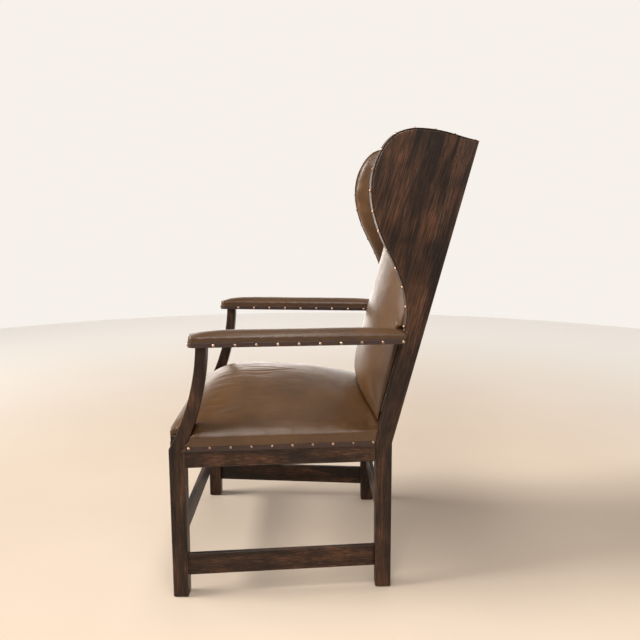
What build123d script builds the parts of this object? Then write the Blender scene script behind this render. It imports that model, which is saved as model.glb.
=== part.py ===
"""Wingback armchair with open arms: a dark hardwood frame upholstered in leather.

Millimetres, +Z up, the chair faces -Y, and +X is the left side of the person
who sits in it. The origin is on the floor, under the middle of the chair.
"""
import os
from math import cos, radians, sin, tan

from build123d import *

# Driving sizes of the frame
front_width = 635.0            # over the outer faces of the front legs
rear_width = 552.0             # over the outer faces of the rear legs
foot_depth = 528.0             # front face of the front legs to rear face of the rear legs
leg_size = 38.0
front_foot_size = 36.0         # the front legs taper a little towards the floor
rear_foot_size = 38.0
knee_height = 372.0            # where the legs turn into the arm posts and the stiles
rear_knee_lean = 2.0           # the rear leg's back face comes forward by this at the knee
back_rake = 14.6               # degrees
stile_depth = 39.5
stile_length = 734.0           # from the knee to the top, along the rake
arris = 1.5
board_arris = 1.2
foot_chamfer = 3.5

# Arms
arm_height = 617.0             # underside of the arm
post_top_front = 69.0          # from the front legs' front face
post_top_size = 25.0
post_front_bow = 15.4
post_back_bow = 12.4
post_peg_inset = 6.0
post_peg_height = 12.0
arm_front_end = 54.0
arm_width = 62.0
arm_thickness = 20.0
arm_nose_radius = 12.0
arm_edge = 2.0                 # the padding's height at its border
arm_crown = 11.0               # and how much it rises from there
arm_along_power = 8
arm_across_power = 2.2
arm_end_rise = 5.0             # where the back's padding meets it
arm_overlap_share = 0.2
arm_grid_across = 9
arm_grid_shares = [-0.03, 0, 0.02, 0.05, 0.1, 0.2, 0.4, 0.6, 0.8, 0.9, 0.95, 0.98, 1, 1.03]

# Rails and stretchers
rail_bottom = 328.0
rail_height = 64.0
rail_thickness = 24.0
rear_rail_setback = 2.0
back_rail_thickness = 26.0
top_rail_height = 74.0
lower_rail_height = 45.0
lower_rail_start = 66.0        # from the knee, along the rake
side_stretcher_bottom = 51.0
side_stretcher_height = 54.0
cross_stretcher_bottom = 126.0
cross_stretcher_height = 50.0
stretcher_thickness = 12.0
front_stretcher_setback = 10.0

# Joints
tenon_length = 20.0
tenon_thickness = 8.0
tenon_shoulder = 8.0           # the rail is this much higher than its tenon, above and below
stretcher_shoulder = 2.0
joint_clearance = 0.2
dowel_radius = 4.0
dowel_length = 44.0
dowel_shares = (0.2, 0.5, 0.85)
overrun = 30.0                 # how far a cutting body runs past what it cuts

# Corner blocks and their screws
block_leg = 58.0
block_height = 26.0
block_lift = 18.0              # above the rails' lower edge
screw_radius = 2.2
screw_length = 34.0
screw_head_radius = 4.2
screw_head_height = 2.6
screw_share = 0.45             # of the block's leg, from the chair's leg
screw_bite = 12.0              # how deep a screw enters its rail

# Wing boards
wing_flare = 7.0               # degrees outwards from the stile
wing_thickness = 22.0
wing_start = 284.0             # lower tip, from the knee along the rake
wing_reach = 172.0             # furthest point in front of the stile
# the wing's free edge from its lower tip to the stile's top: forwards as a share of
# the reach, and upwards as a share of the height from the tip to the top
wing_edge_shares = [
    (0.018, 0.0), (0.150, 0.180), (0.350, 0.293), (0.640, 0.420), (0.850, 0.538),
    (0.972, 0.656), (1.0, 0.752), (0.962, 0.843), (0.860, 0.920), (0.690, 0.967),
    (0.480, 0.990), (0.250, 1.0), (0.0, 1.0),
]
wing_edge_points = 41
wing_grid = 7
wing_overlap_share = 0.15

# Leather and what is under it
leather = 2.0
leather_gap = 0.2              # between the leather and what it covers
fit_gap = 0.3                  # between a soft piece and its neighbours
cloth = 1.5
band_thickness = 1.5
band_height = 11.0
band_drop = 25.0               # the seat leather's lower edge, under the rails' top
seat_edge_height = 409.0       # where the leather border turns into the seat
seat_rise = 85.0               # from that edge to the top of the dome
seat_peak_share = 0.29         # of the depth, from the front
seat_front_fall_share = 0.93
seat_front_power = 2.4
seat_rear_fall_share = 0.77
seat_rear_power = 3.0
seat_across_power = 2.2
seat_rear_margin = 8.0         # from the rear rail's back face
seat_overlap_share = 0.04
seat_grid_across = 11
seat_grid_along = 15
dust_cover_thickness = 1.0
dust_cover_margin = 9.0
strap_width = 50.0
seat_straps = 5                # each way
spring_wire = 1.8
spring_radius = 24.0
spring_turns = 4
spring_spread = 108.0         # between the straps, and so the springs
seat_strap_share = 0.85        # of that spread, from front to back

# Back pad: how far it stands in front of the stiles
back_crown = 70.0
back_edge = 12.0
back_across_power = 2.6
back_low_fall_share = 0.95     # of the crown, lost at the pad's lower end
back_top_fall_share = 0.65     # and at its top
back_flat_from_share = 0.22    # of the stile's length
back_flat_to_share = 0.66
back_pad_start = 30.0
back_overlap_share = 0.05
back_grid_across = 11
back_grid_along = 13
back_straps_up = 4
back_straps_across = 5
rebate_width = 12.0
wing_pad = 14.0
wing_pad_crown = 7.0
wing_wrap = 1.5                # the leather stops this far inside the wing's outer face

# Nails
nail_radius = 3.7
nail_dome = 2.8
nail_shoulder_share = 0.62      # a point of its dome: outwards as a share of the radius
nail_shoulder_height_share = 0.7   # and upwards as a share of the dome
nail_shank_radius = 0.8
nail_shank = 11.0
nail_clearance = 0.1
nail_front_margin = 10.0       # from the front post to the first nail of the seat
nail_rear_margin = 5.0
nose_nail_offset = 15.0
side_nail_count = 10
front_nail_count = 12
arm_nail_count = 10
wing_nail_count = 15
outside_nails_up = 14
outside_nails_across = 9
seat_nail_height = 375.5
arm_nail_rise = 5.0            # above the arm's underside
arm_first_nail = 56.0          # from the arm's front end
wing_nail_inset = 10.5         # from the wing's outer face
wing_first_nail = 5.0          # from the wing's lower tip
wing_last_nail = 7.0           # from the stile's back face
outside_lift = 2.0             # from the knee to the outside back's lower edge
outside_nail_margin = 8.0

# Worked-out places
rake = radians(back_rake)
flare = radians(wing_flare)
half_front = front_width / 2
half_rear = rear_width / 2
inner_front = half_front - leg_size
inner_stile = half_rear - leg_size
mid_post = half_front - leg_size / 2
mid_stile = half_rear - leg_size / 2
rail_top = rail_bottom + rail_height
knee_back = foot_depth - rear_knee_lean
stile_front = knee_back - stile_depth / cos(rake)
top_back = knee_back + stile_length * sin(rake)
front_stand = leather + band_thickness + nail_dome
front_y = -(top_back - front_stand) / 2
post_top_back = post_top_front + post_top_size
post_middle = (post_top_front + post_top_back) / 2
back_rail_setback = 3 * cloth
rebate_floor = -back_rail_setback - back_rail_thickness
band_bottom = rail_top - band_drop
arm_top = arm_height + arm_thickness
wing_rise = stile_length - wing_start

pieces = {}


def at(x, y, z):
    """The point that lies y behind the front legs' front face."""
    return Vector(x, front_y + y, z)


def face_of(*edges):
    return Face(Wire(list(edges)))


def outline(*points):
    return Face(Polyline(*points, close=True).wire())


def both_sides(name, shape):
    pieces[name + "_left"] = shape
    pieces[name + "_right"] = mirror(shape, about=Plane.YZ)


def group(solids):
    return Compound(children=list(solids))


def block(x0, x1, y0, y1, z0, z1):
    size = Box(x1 - x0, y1 - y0, z1 - z0, align=(Align.MIN, Align.MIN, Align.MIN))
    return Location(at(x0, y0, z0)) * size


def single(shape):
    """The largest solid of a shape."""
    return max(shape.solids(), key=lambda solid: solid.volume)


def spread(low, high, count):
    return [low + (high - low) * step / (count - 1) for step in range(count)]


def surface(point, us, vs):
    """A smooth face through the points that a function gives for two lists of shares."""
    return Face.make_surface_from_array_of_points([[point(u, v) for u in us] for v in vs])


# Planes of the back: x across, y up along the rake, z forwards from the stiles' front
back_plane = Plane(
    origin=at(0, stile_front, knee_height), x_dir=(1, 0, 0), z_dir=(0, -cos(rake), sin(rake))
)


def on_back(x, up, forward):
    return back_plane.from_local_coords(Vector(x, up, forward))


def back_block(x0, x1, up0, up1, forward0, forward1):
    size = Box(x1 - x0, up1 - up0, forward1 - forward0, align=(Align.MIN, Align.MIN, Align.MIN))
    return back_plane.location * (Pos(x0, up0, forward0) * size)


def ahead_of_stiles(gap=0):
    """The room in front of the stiles."""
    return back_block(-front_width, front_width, 0, stile_length + overrun, gap, foot_depth)


# Plane of the left wing: x forwards, y up along the rake, z inwards from the outer face
up_rake = back_plane.y_dir
wing_forward = back_plane.z_dir * cos(flare) + Vector(1, 0, 0) * sin(flare)
wing_inwards = wing_forward.cross(up_rake)
wing_plane = Plane(origin=on_back(half_rear, 0, 0), x_dir=wing_forward, z_dir=wing_inwards)


def on_wing(forward, up, inwards):
    return wing_plane.from_local_coords(Vector(forward, up, inwards))


# Plan of the left side: a line from the front leg to the rear leg
side_start = at(half_front, leg_size, 0)
side_run = at(half_rear, stile_front, 0) - side_start
side_length = side_run.length
side_along = side_run.normalized()
side_inwards = Vector(0, 0, 1).cross(side_along)

# Plan of the left arm: a line from the middle of the post to the middle of the stile
arm_rear = stile_front + (arm_height - knee_height) * tan(rake)
arm_run = at(mid_stile, arm_rear, 0) - at(mid_post, post_middle, 0)
arm_along = arm_run.normalized()
arm_inwards = Vector(0, 0, 1).cross(arm_along)
arm_tip = at(mid_post, post_middle, 0) - arm_along * ((post_middle - arm_front_end) / arm_along.Y)
arm_length = (arm_rear - arm_front_end) / arm_along.Y


def on_side(along, inwards, z):
    return side_start + side_along * along + side_inwards * inwards + Vector(0, 0, z)


def on_arm(along, inwards, z):
    return arm_tip + arm_along * along + arm_inwards * inwards + Vector(0, 0, z)


def slanted_block(point, along0, along1, inwards0, inwards1, z0, z1):
    """A block that runs along the side or the arm, whose points the function gives."""
    plan = outline(point(along0, inwards0, z0), point(along1, inwards0, z0),
                   point(along1, inwards1, z0), point(along0, inwards1, z0))
    return extrude(plan, amount=z1 - z0, dir=(0, 0, 1))


# Legs
def front_leg_blank():
    """The front leg and arm post, with sharp edges."""
    x = inner_front

    def bowed(y0, z0, y1, z1, bow):
        middle = at(x, (y0 + y1) / 2 + bow, (z0 + z1) / 2)
        return ThreePointArc(at(x, y0, z0), middle, at(x, y1, z1))

    front = bowed(0, knee_height, post_top_front, arm_height, post_front_bow)
    back = bowed(post_top_back, arm_height, leg_size, knee_height, post_back_bow)
    profile = face_of(
        Line(at(x, 0, 0), front @ 0), front,
        Line(front @ 1, back @ 0), back,
        Line(back @ 1, at(x, front_foot_size, 0)),
        Line(at(x, front_foot_size, 0), at(x, 0, 0)),
    )
    return extrude(profile, amount=leg_size, dir=(1, 0, 0))


def rear_post_blank():
    """The rear leg and stile, with sharp edges."""
    x = inner_stile
    profile = outline(
        at(x, foot_depth - rear_foot_size, 0),
        at(x, stile_front, knee_height),
        on_back(x, stile_length, 0),
        on_back(x, stile_length, -stile_depth),
        at(x, knee_back, knee_height),
        at(x, foot_depth, 0),
    )
    return extrude(profile, amount=leg_size, dir=(1, 0, 0))


def eased(leg):
    """The leg with its foot and its long edges chamfered."""
    leg = chamfer(leg.edges().group_by(Axis.Z)[0], foot_chamfer)
    long_edges = [
        edge for edge in leg.faces().filter_by(Axis.X).edges()
        if edge.length > leg_size and edge.center().Z > foot_chamfer
    ]
    return chamfer(long_edges, arris)


def eased_board(board, shortest):
    """A board with its long edges chamfered."""
    return chamfer([edge for edge in board.edges() if edge.length > shortest], board_arris)


front_leg_body = front_leg_blank()
rear_post_body = rear_post_blank()
front_leg = eased(front_leg_body)
rear_post = eased(rear_post_body)

# The stile's edge stays sharp where the wing board is glued flush against it
joint_edge = back_block(half_rear - 2 * arris, half_rear, wing_start, stile_length, -2 * arris, 0)
rear_post += rear_post_body & joint_edge


# Rails and stretchers between the legs
def side_member(bottom, height, inwards, thickness, shoulder, tongue_thickness):
    """A board of the left side with its tenons, and the cutter of its mortises."""
    board = slanted_block(on_side, -leg_size, side_length + leg_size,
                          inwards, inwards + thickness, bottom, bottom + height)
    board = eased_board(board, side_length)
    board = single(board - front_leg_body - rear_post_body - beside_front_leg)

    def tongue(gap):
        middle = inwards + thickness / 2
        half = tongue_thickness / 2 + gap
        return slanted_block(on_side, -tenon_length - gap, side_length + tenon_length + gap,
                             middle - half, middle + half,
                             bottom + shoulder - gap, bottom + height - shoulder + gap)

    return single(board + tongue(0)), tongue(joint_clearance)


def cross_member(half_length, y0, thickness, bottom, height, shoulder, tongue_thickness):
    """A board across the chair with its tenons, and the cutter of its mortises."""
    board = block(-half_length, half_length, y0, y0 + thickness, bottom, bottom + height)
    board = eased_board(board, half_length)

    def tongue(gap):
        end = half_length + tenon_length + gap
        middle = y0 + thickness / 2
        half = tongue_thickness / 2 + gap
        return block(-end, end, middle - half, middle + half,
                     bottom + shoulder - gap, bottom + height - shoulder + gap)

    return single(board + tongue(0)), tongue(joint_clearance)


beside_front_leg = block(half_front, front_width, -overrun, leg_size, 0, arm_height)
stretcher_inset = (leg_size - stretcher_thickness) / 2
stretcher_tongue = stretcher_thickness - 2 * stretcher_shoulder
rear_rail_front = knee_back - rear_rail_setback - rail_thickness
rear_stretcher_front = foot_depth - rear_foot_size + stretcher_inset

seat_rail, seat_rail_mortise = side_member(
    rail_bottom, rail_height, 0, rail_thickness, tenon_shoulder, tenon_thickness)
side_stretcher, side_stretcher_mortise = side_member(
    side_stretcher_bottom, side_stretcher_height, stretcher_inset, stretcher_thickness,
    stretcher_shoulder, stretcher_tongue)
front_rail, front_rail_mortise = cross_member(
    inner_front, 0, rail_thickness, rail_bottom, rail_height, tenon_shoulder, tenon_thickness)
rear_rail, rear_rail_mortise = cross_member(
    inner_stile, rear_rail_front, rail_thickness, rail_bottom, rail_height,
    tenon_shoulder, tenon_thickness)
front_stretcher, front_stretcher_mortise = cross_member(
    inner_front, front_stretcher_setback, stretcher_thickness, cross_stretcher_bottom,
    cross_stretcher_height, stretcher_shoulder, stretcher_tongue)
rear_stretcher, rear_stretcher_mortise = cross_member(
    inner_stile, rear_stretcher_front, stretcher_thickness, cross_stretcher_bottom,
    cross_stretcher_height, stretcher_shoulder, stretcher_tongue)


# Rails of the back, between the stiles
def back_member(start, height):
    board = back_block(-inner_stile, inner_stile, start, start + height,
                       rebate_floor, -back_rail_setback)
    middle = (rebate_floor - back_rail_setback) / 2

    def tongue(gap):
        end = inner_stile + tenon_length + gap
        half = tenon_thickness / 2 + gap
        return back_block(-end, end, start + tenon_shoulder - gap,
                          start + height - tenon_shoulder + gap, middle - half, middle + half)

    return single(board + tongue(0)), tongue(joint_clearance)


lower_rail, lower_rail_mortise = back_member(lower_rail_start, lower_rail_height)
top_rail, top_rail_mortise = back_member(stile_length - top_rail_height, top_rail_height)

# The outside back lies in a rebate of the stiles and of the rear seat rail
rebate = back_block(-inner_stile - rebate_width, inner_stile + rebate_width, 0,
                    stile_length + overrun, -stile_depth - overrun, rebate_floor)
rear_post -= rebate
rear_rail = single(rear_rail - rebate)


# Arms
def arm_prism(grow, low, high):
    """The arm's plan, grown sideways and at its nose, from one height to another."""
    half = arm_width / 2 + grow
    end = arm_length + leg_size
    plan = outline(on_arm(-grow, -half, low), on_arm(end, -half, low),
                   on_arm(end, half, low), on_arm(-grow, half, low))
    nose = sorted(plan.vertices(), key=lambda corner: corner.Y)[:2]
    plan = plan.fillet_2d(arm_nose_radius + grow, nose)
    gap = fit_gap if grow else 0
    return extrude(plan, amount=high - low, dir=(0, 0, 1)) & ahead_of_stiles(gap)


def arm_envelope(grow, low):
    """The arm from a height up to its crowned top, with its padding, grown outwards."""
    half = arm_width / 2

    def point(across, along):
        ends = 1 - abs(2 * along - 1) ** arm_along_power
        rise = arm_crown * max(ends, 0) * (1 - abs(across) ** arm_across_power)
        return on_arm(along * arm_length, across * half, arm_top + arm_edge + rise + grow)

    across = spread(-1 - arm_overlap_share, 1 + arm_overlap_share, arm_grid_across)
    body = extrude(surface(point, across, arm_grid_shares), amount=arm_thickness + 2 * overrun,
                   dir=(0, 0, -1))
    return arm_prism(grow, low, arm_top + arm_crown + overrun) & body


def arm_tongue(gap):
    low = arm_height + (arm_thickness - tenon_thickness) / 2
    return slanted_block(on_arm, arm_length - tenon_length, arm_length + tenon_length + gap,
                         -tenon_length / 2 - gap, tenon_length / 2 + gap,
                         low - gap, low + tenon_thickness + gap)


def post_peg(gap):
    """The stub on the arm post that enters the arm."""
    inset = post_peg_inset - gap
    return block(inner_front + inset, half_front - inset,
                 post_top_front + inset, post_top_back - inset,
                 arm_height, arm_height + post_peg_height + gap)


arm_rail = arm_prism(0, arm_height, arm_top)
arm_rail = single(arm_rail + arm_tongue(0) - post_peg(joint_clearance))
front_leg = single(front_leg + post_peg(0))

arm_cavity = arm_envelope(leather_gap, arm_height - overrun)
arm_cover = single(arm_envelope(leather, arm_height) - arm_cavity)
arm_stuffing = single(arm_envelope(0, arm_top) & ahead_of_stiles(fit_gap))
arm_banding = single(
    arm_prism(leather + band_thickness, arm_height, arm_height + band_height)
    - arm_prism(leather, arm_height - overrun, arm_top + overrun))


# Wings
def wing_edge(grow):
    """The wing's free edge, from its lower tip to the stile's top, grown outwards."""
    base = Spline(*[on_wing(forward * wing_reach, wing_start + up * wing_rise, 0)
                    for forward, up in wing_edge_shares])
    if not grow:
        return base
    return Spline(*[base @ share + (base % share).cross(wing_inwards) * grow
                    for share in spread(0, 1, wing_edge_points)])


def wing_slab(grow, inwards0, inwards1):
    """The wing's outline, grown at its free edge, between two depths from its outer face."""
    edge = wing_edge(grow)
    low = wing_plane.to_local_coords(edge @ 0).Y
    high = wing_plane.to_local_coords(edge @ 1).Y
    profile = face_of(
        edge, Line(edge @ 1, on_wing(-overrun, high, 0)),
        Line(on_wing(-overrun, high, 0), on_wing(-overrun, low, 0)),
        Line(on_wing(-overrun, low, 0), edge @ 0),
    )
    slab = extrude(profile, amount=inwards1 - inwards0, dir=wing_inwards)
    return slab.moved(Location(wing_inwards * inwards0)) & ahead_of_stiles()


def wing_envelope(grow, inwards0):
    """The wing from a depth to the crowned inner face of its padding, grown outwards."""
    def point(forward, up):
        crown = max(1 - (2 * forward - 1) ** 2, 0) * max(1 - (2 * up - 1) ** 2, 0)
        depth = wing_thickness + wing_pad + wing_pad_crown * crown + grow
        return on_wing(forward * wing_reach, wing_start + up * wing_rise, depth)

    shares = spread(-wing_overlap_share, 1 + wing_overlap_share, wing_grid)
    body = extrude(surface(point, shares, shares), amount=leg_size + wing_pad + overrun,
                   dir=-wing_inwards)
    return wing_slab(grow, inwards0, leg_size + wing_pad + overrun) & body


def dowel(up, gap):
    peg = Cylinder(dowel_radius + gap, dowel_length + 2 * gap)
    return Plane(origin=on_wing(0, up, wing_thickness / 2), z_dir=wing_forward).location * peg


wing_dowels = [dowel(wing_start + share * wing_rise, 0) for share in dowel_shares]
dowel_holes = [dowel(wing_start + share * wing_rise, joint_clearance) for share in dowel_shares]
wing_board = wing_slab(0, 0, wing_thickness)
outer_edges = wing_board.faces().sort_by(lambda face: wing_plane.to_local_coords(face.center()).Z)
free_edge = max(outer_edges[0].edges(), key=lambda edge: edge.length)
wing_board = single(chamfer(free_edge, board_arris) - dowel_holes)
wing_cover = single(wing_envelope(leather, wing_wrap) - wing_envelope(leather_gap, -overrun))
wing_stuffing = single(wing_envelope(0, wing_thickness))

# The band over the wing's edge runs on over the stile's end
band_out = leather + band_thickness
wing_band = (wing_slab(band_out, wing_wrap, wing_thickness)
             - wing_slab(leather, -overrun, wing_thickness + overrun))
stile_leather = back_block(inner_stile, half_rear - wing_wrap, stile_length,
                           stile_length + leather, -stile_depth, 0)
stile_band = back_block(half_rear - wing_thickness, half_rear - wing_wrap,
                        stile_length + leather, stile_length + band_out, -stile_depth, 0)
wing_cover = single(wing_cover + stile_leather)
wing_banding = single(wing_band + stile_band)

# Seat: its plan follows the rails, and its top is a dome
seat_rear = knee_back - rear_rail_setback - seat_rear_margin


def seat_half_width(y):
    share = (y - leg_size) / (stile_front - leg_size)
    return half_front - max(share, 0) * (half_front - half_rear)


def seat_prism(grow, low, high):
    corners = [(half_front + grow, -grow), (half_front + grow, leg_size),
               (half_rear + grow, stile_front), (half_rear + grow, seat_rear + grow)]
    right = [at(x, y, low) for x, y in corners]
    left = [at(-x, y, low) for x, y in reversed(corners)]
    return extrude(outline(*right, *left), amount=high - low, dir=(0, 0, 1))


def seat_height(across, along):
    if along < seat_peak_share:
        fall = seat_front_fall_share * (1 - along / seat_peak_share) ** seat_front_power
    else:
        behind = (along - seat_peak_share) / (1 - seat_peak_share)
        fall = seat_rear_fall_share * behind ** seat_rear_power
    return seat_edge_height + seat_rise * (1 - fall) * (1 - abs(across) ** seat_across_power)


def seat_envelope(grow, low):
    """The seat from a height up to its domed top, grown outwards."""
    def point(across, along):
        y = along * seat_rear
        return at(across * seat_half_width(y), y, seat_height(across, along) + grow)

    across = spread(-1 - seat_overlap_share, 1 + seat_overlap_share, seat_grid_across)
    along = spread(-seat_overlap_share, 1 + seat_overlap_share, seat_grid_along)
    body = extrude(surface(point, across, along), amount=seat_edge_height, dir=(0, 0, -1))
    return seat_prism(grow, low, seat_edge_height + seat_rise + overrun) & body


def front_notch():
    """What the seat's leather leaves free at a front post: the post and all outside it."""
    x = inner_front - fit_gap
    high = arm_height
    back = ThreePointArc(
        at(x, post_top_back + fit_gap, high),
        at(x, (post_top_back + leg_size) / 2 + post_back_bow + fit_gap, (high + knee_height) / 2),
        at(x, leg_size + fit_gap, knee_height))
    profile = face_of(
        back, Line(back @ 1, at(x, leg_size + fit_gap, 0)),
        Line(at(x, leg_size + fit_gap, 0), at(x, -overrun, 0)),
        Line(at(x, -overrun, 0), at(x, -overrun, high)), Line(at(x, -overrun, high), back @ 0))
    return extrude(profile, amount=leg_size + overrun, dir=(1, 0, 0))


def rear_notch():
    """The same at a rear post."""
    x = inner_stile - fit_gap
    profile = outline(
        at(x, foot_depth - rear_foot_size - fit_gap, 0),
        at(x, stile_front - fit_gap, knee_height), on_back(x, stile_length, fit_gap),
        on_back(x, stile_length, -stile_depth - overrun), at(x, foot_depth + overrun, 0))
    return extrude(profile, amount=leg_size + overrun, dir=(1, 0, 0))


notches = [front_notch(), rear_notch()]
notches += [mirror(notch, about=Plane.YZ) for notch in notches]

hessian_top = rail_top + cloth
seat_cavity = seat_envelope(leather_gap, 0)
seat_behind = block(-front_width, front_width, stile_front, foot_depth + overrun, 0, rail_top)
seat_cover = single(seat_envelope(leather, band_bottom) - seat_cavity - notches - seat_behind)
seat_stuffing = single(seat_envelope(0, hessian_top) - notches)
seat_ring = (seat_prism(band_out, band_bottom, band_bottom + band_height)
             - seat_prism(leather, 0, rail_top + overrun) - notches)
seat_banding = seat_ring - seat_behind
seat_keep_out = seat_envelope(leather + fit_gap, 0)

# Inside the seat
seat_hessian = single(seat_prism(-leather, rail_top, hessian_top) - notches)
inside_legs = [front_leg_body, rear_post_body]
inside_legs += [mirror(leg, about=Plane.YZ) for leg in inside_legs]
strap_bottom = rail_bottom - 2 * cloth
dust_bottom = strap_bottom - dust_cover_thickness
dust_cover = single(seat_prism(-dust_cover_margin, dust_bottom, strap_bottom) - inside_legs)

strap_plan = seat_prism(-2 * dust_cover_margin, strap_bottom, rail_bottom)
strap_centres = [index - (seat_straps - 1) / 2 for index in range(seat_straps)]
seat_middle = seat_rear / 2
seat_webbing = []
for centre in strap_centres:
    x = centre * spring_spread
    y = seat_middle + centre * spring_spread * seat_strap_share
    lengthwise = block(x - strap_width / 2, x + strap_width / 2, 0, foot_depth,
                       rail_bottom - cloth, rail_bottom)
    crosswise = block(-half_front, half_front, y - strap_width / 2, y + strap_width / 2,
                      strap_bottom, rail_bottom - cloth)
    seat_webbing.append(single((lengthwise & strap_plan) - inside_legs))
    seat_webbing.append(single((crosswise & strap_plan) - inside_legs))

spring_height = rail_height - 2 * spring_wire
coil = Helix(pitch=spring_height / spring_turns, height=spring_height, radius=spring_radius)
wire = sweep(Plane(origin=coil @ 0, z_dir=coil % 0) * Circle(spring_wire), path=coil)
seat_springs = []
for row in strap_centres[1:-1]:
    for column in strap_centres[1:-1]:
        place = at(column * spring_spread, seat_middle + row * spring_spread * seat_strap_share,
                   rail_bottom + spring_wire)
        seat_springs.append(wire.moved(Location(place)))


# Corner blocks, each held by a screw into either rail
def corner_block(rail_y, inner_x, side_end, side_point, post_body):
    """A block in the corner of two rails, cut around the leg."""
    plan = outline(at(inner_x - block_leg, rail_y, block_bottom),
                   at(inner_x + leg_size / 2, rail_y, block_bottom),
                   on_side(side_point, rail_thickness, block_bottom),
                   on_side(side_end, rail_thickness, block_bottom))
    return single(extrude(plan, amount=block_height, dir=(0, 0, 1)) - post_body)


def screw(point, direction, gap=0):
    """A round-headed screw; with a gap, the cutter of its hole and counterbore."""
    head_height = screw_head_height + (block_leg if gap else 0)
    head = Cylinder(screw_head_radius + gap, head_height,
                    align=(Align.CENTER, Align.CENTER, Align.MIN))
    shank = Cylinder(screw_radius + gap, screw_length + gap,
                     align=(Align.CENTER, Align.CENTER, Align.MAX))
    return Plane(origin=point, z_dir=direction).location * (head + shank)


block_bottom = rail_bottom + block_lift
low_screw = block_bottom + block_height / 3
high_screw = block_bottom + 2 * block_height / 3
screw_reach = screw_length - screw_bite
screw_step = block_leg * screw_share
front_screws = [
    (at(inner_front - screw_step, rail_thickness + screw_reach, low_screw), Vector(0, 1, 0)),
    (on_side(screw_step, rail_thickness + screw_reach, high_screw), side_inwards),
]
rear_screws = [
    (at(inner_stile - screw_step, rear_rail_front - screw_reach, low_screw), Vector(0, -1, 0)),
    (on_side(side_length - screw_step, rail_thickness + screw_reach, high_screw), side_inwards),
]
screws = [screw(*place) for place in front_screws + rear_screws]
screws += [mirror(one, about=Plane.YZ) for one in screws]
screw_holes = [screw(*place, gap=joint_clearance) for place in front_screws + rear_screws]
screw_holes += [mirror(hole, about=Plane.YZ) for hole in screw_holes]
blocks = [
    corner_block(rail_thickness, inner_front, block_leg, -leg_size / 4, front_leg_body),
    corner_block(rear_rail_front, inner_stile, side_length - block_leg,
                 side_length + leg_size / 4, rear_post_body),
]
blocks += [mirror(one, about=Plane.YZ) for one in blocks]
blocks = [single(one - screw_holes) for one in blocks]
seat_rail = single(seat_rail - screw_holes)
front_rail = single(front_rail - screw_holes)
rear_rail = single(rear_rail - screw_holes)

# Back pad, between the wings and above the seat
back_half = inner_stile - leather - fit_gap


def back_profile(along):
    """The share of the crown at a share of the stile's length."""
    if along < back_flat_from_share:
        return 1 - back_low_fall_share * (1 - along / back_flat_from_share) ** 2
    if along > back_flat_to_share:
        past = (along - back_flat_to_share) / (1 - back_flat_to_share)
        return 1 - back_top_fall_share * past ** 2
    return 1


def back_envelope(grow, start):
    """The back's padding in front of the stiles, grown outwards."""
    def point(across, along):
        bulge = (back_crown - leather - back_edge) * (1 - abs(across) ** back_across_power)
        forward = (back_edge + bulge) * back_profile(along) + grow
        return on_back(across * back_half, along * stile_length, forward)

    across = spread(-1 - back_overlap_share, 1 + back_overlap_share, back_grid_across)
    along = spread(0, 1 + back_overlap_share, back_grid_along)
    body = extrude(surface(point, across, along), amount=back_crown + overrun,
                   dir=-back_plane.z_dir)
    half = back_half + grow
    return back_block(-half, half, start, stile_length + grow, 0, 2 * back_crown) & body


arm_room = arm_width / 2 + band_out + nail_dome + fit_gap
arm_keep_outs = [slanted_block(on_arm, 0, arm_length + leg_size, -arm_room, arm_room,
                               arm_height - fit_gap, arm_top + arm_edge + arm_end_rise + leather)]
arm_keep_outs.append(mirror(arm_keep_outs[0], about=Plane.YZ))
wing_keep_outs = [wing_envelope(leather + fit_gap, 0)]
wing_keep_outs.append(mirror(wing_keep_outs[0], about=Plane.YZ))
back_keep_out = [seat_keep_out] + arm_keep_outs + wing_keep_outs
back_shell = (back_envelope(leather, back_pad_start)
              - back_envelope(leather_gap, back_pad_start - overrun) - back_keep_out)
top_flap = back_block(-back_half - leather, back_half + leather, stile_length,
                      stile_length + leather, rebate_floor, leather)
back_cover = single(back_shell + top_flap)
back_stuffing = single(back_envelope(0, back_pad_start) - back_keep_out)
cloth_low = back_pad_start + leg_size
back_hessian = single(
    back_block(-back_half, back_half, cloth_low, stile_length, -cloth, 0) - seat_keep_out)
back_webbing = []
for index in range(back_straps_up):
    x = (index - (back_straps_up - 1) / 2) * 2 * back_half / back_straps_up
    back_webbing.append(back_block(x - strap_width / 2, x + strap_width / 2, lower_rail_start,
                                   stile_length, -3 * cloth, -2 * cloth))
open_back = stile_length - top_rail_height - lower_rail_start - lower_rail_height
for index in range(back_straps_across):
    up = (lower_rail_start + lower_rail_height
          + (index + 1) * open_back / (back_straps_across + 1))
    back_webbing.append(back_block(-inner_stile, inner_stile, up - strap_width / 2,
                                   up + strap_width / 2, -2 * cloth, -cloth))

# Outside back, in its rebate
outside_half = inner_stile + rebate_width - fit_gap
outside_back = back_block(-outside_half, outside_half, outside_lift, stile_length,
                          rebate_floor - leather, rebate_floor)


# Nails
def nail_shape():
    crown = ThreePointArc(
        (0, 0, nail_dome),
        (nail_radius * nail_shoulder_share, 0, nail_dome * nail_shoulder_height_share),
        (nail_radius, 0, 0))
    section = face_of(
        crown, Line((nail_radius, 0, 0), (nail_shank_radius, 0, 0)),
        Line((nail_shank_radius, 0, 0), (nail_shank_radius, 0, -nail_shank)),
        Line((nail_shank_radius, 0, -nail_shank), (0, 0, -nail_shank)),
        Line((0, 0, -nail_shank), (0, 0, nail_dome)))
    return revolve(section, axis=Axis.Z)


one_nail = nail_shape()
nail_hole = Cylinder(nail_shank_radius + nail_clearance, nail_shank + nail_clearance + cloth,
                     align=(Align.CENTER, Align.CENTER, Align.MAX)).moved(Location((0, 0, cloth)))


def placed(shape, places):
    return [Plane(origin=point, z_dir=direction).location * shape
            for point, direction in places]


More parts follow.
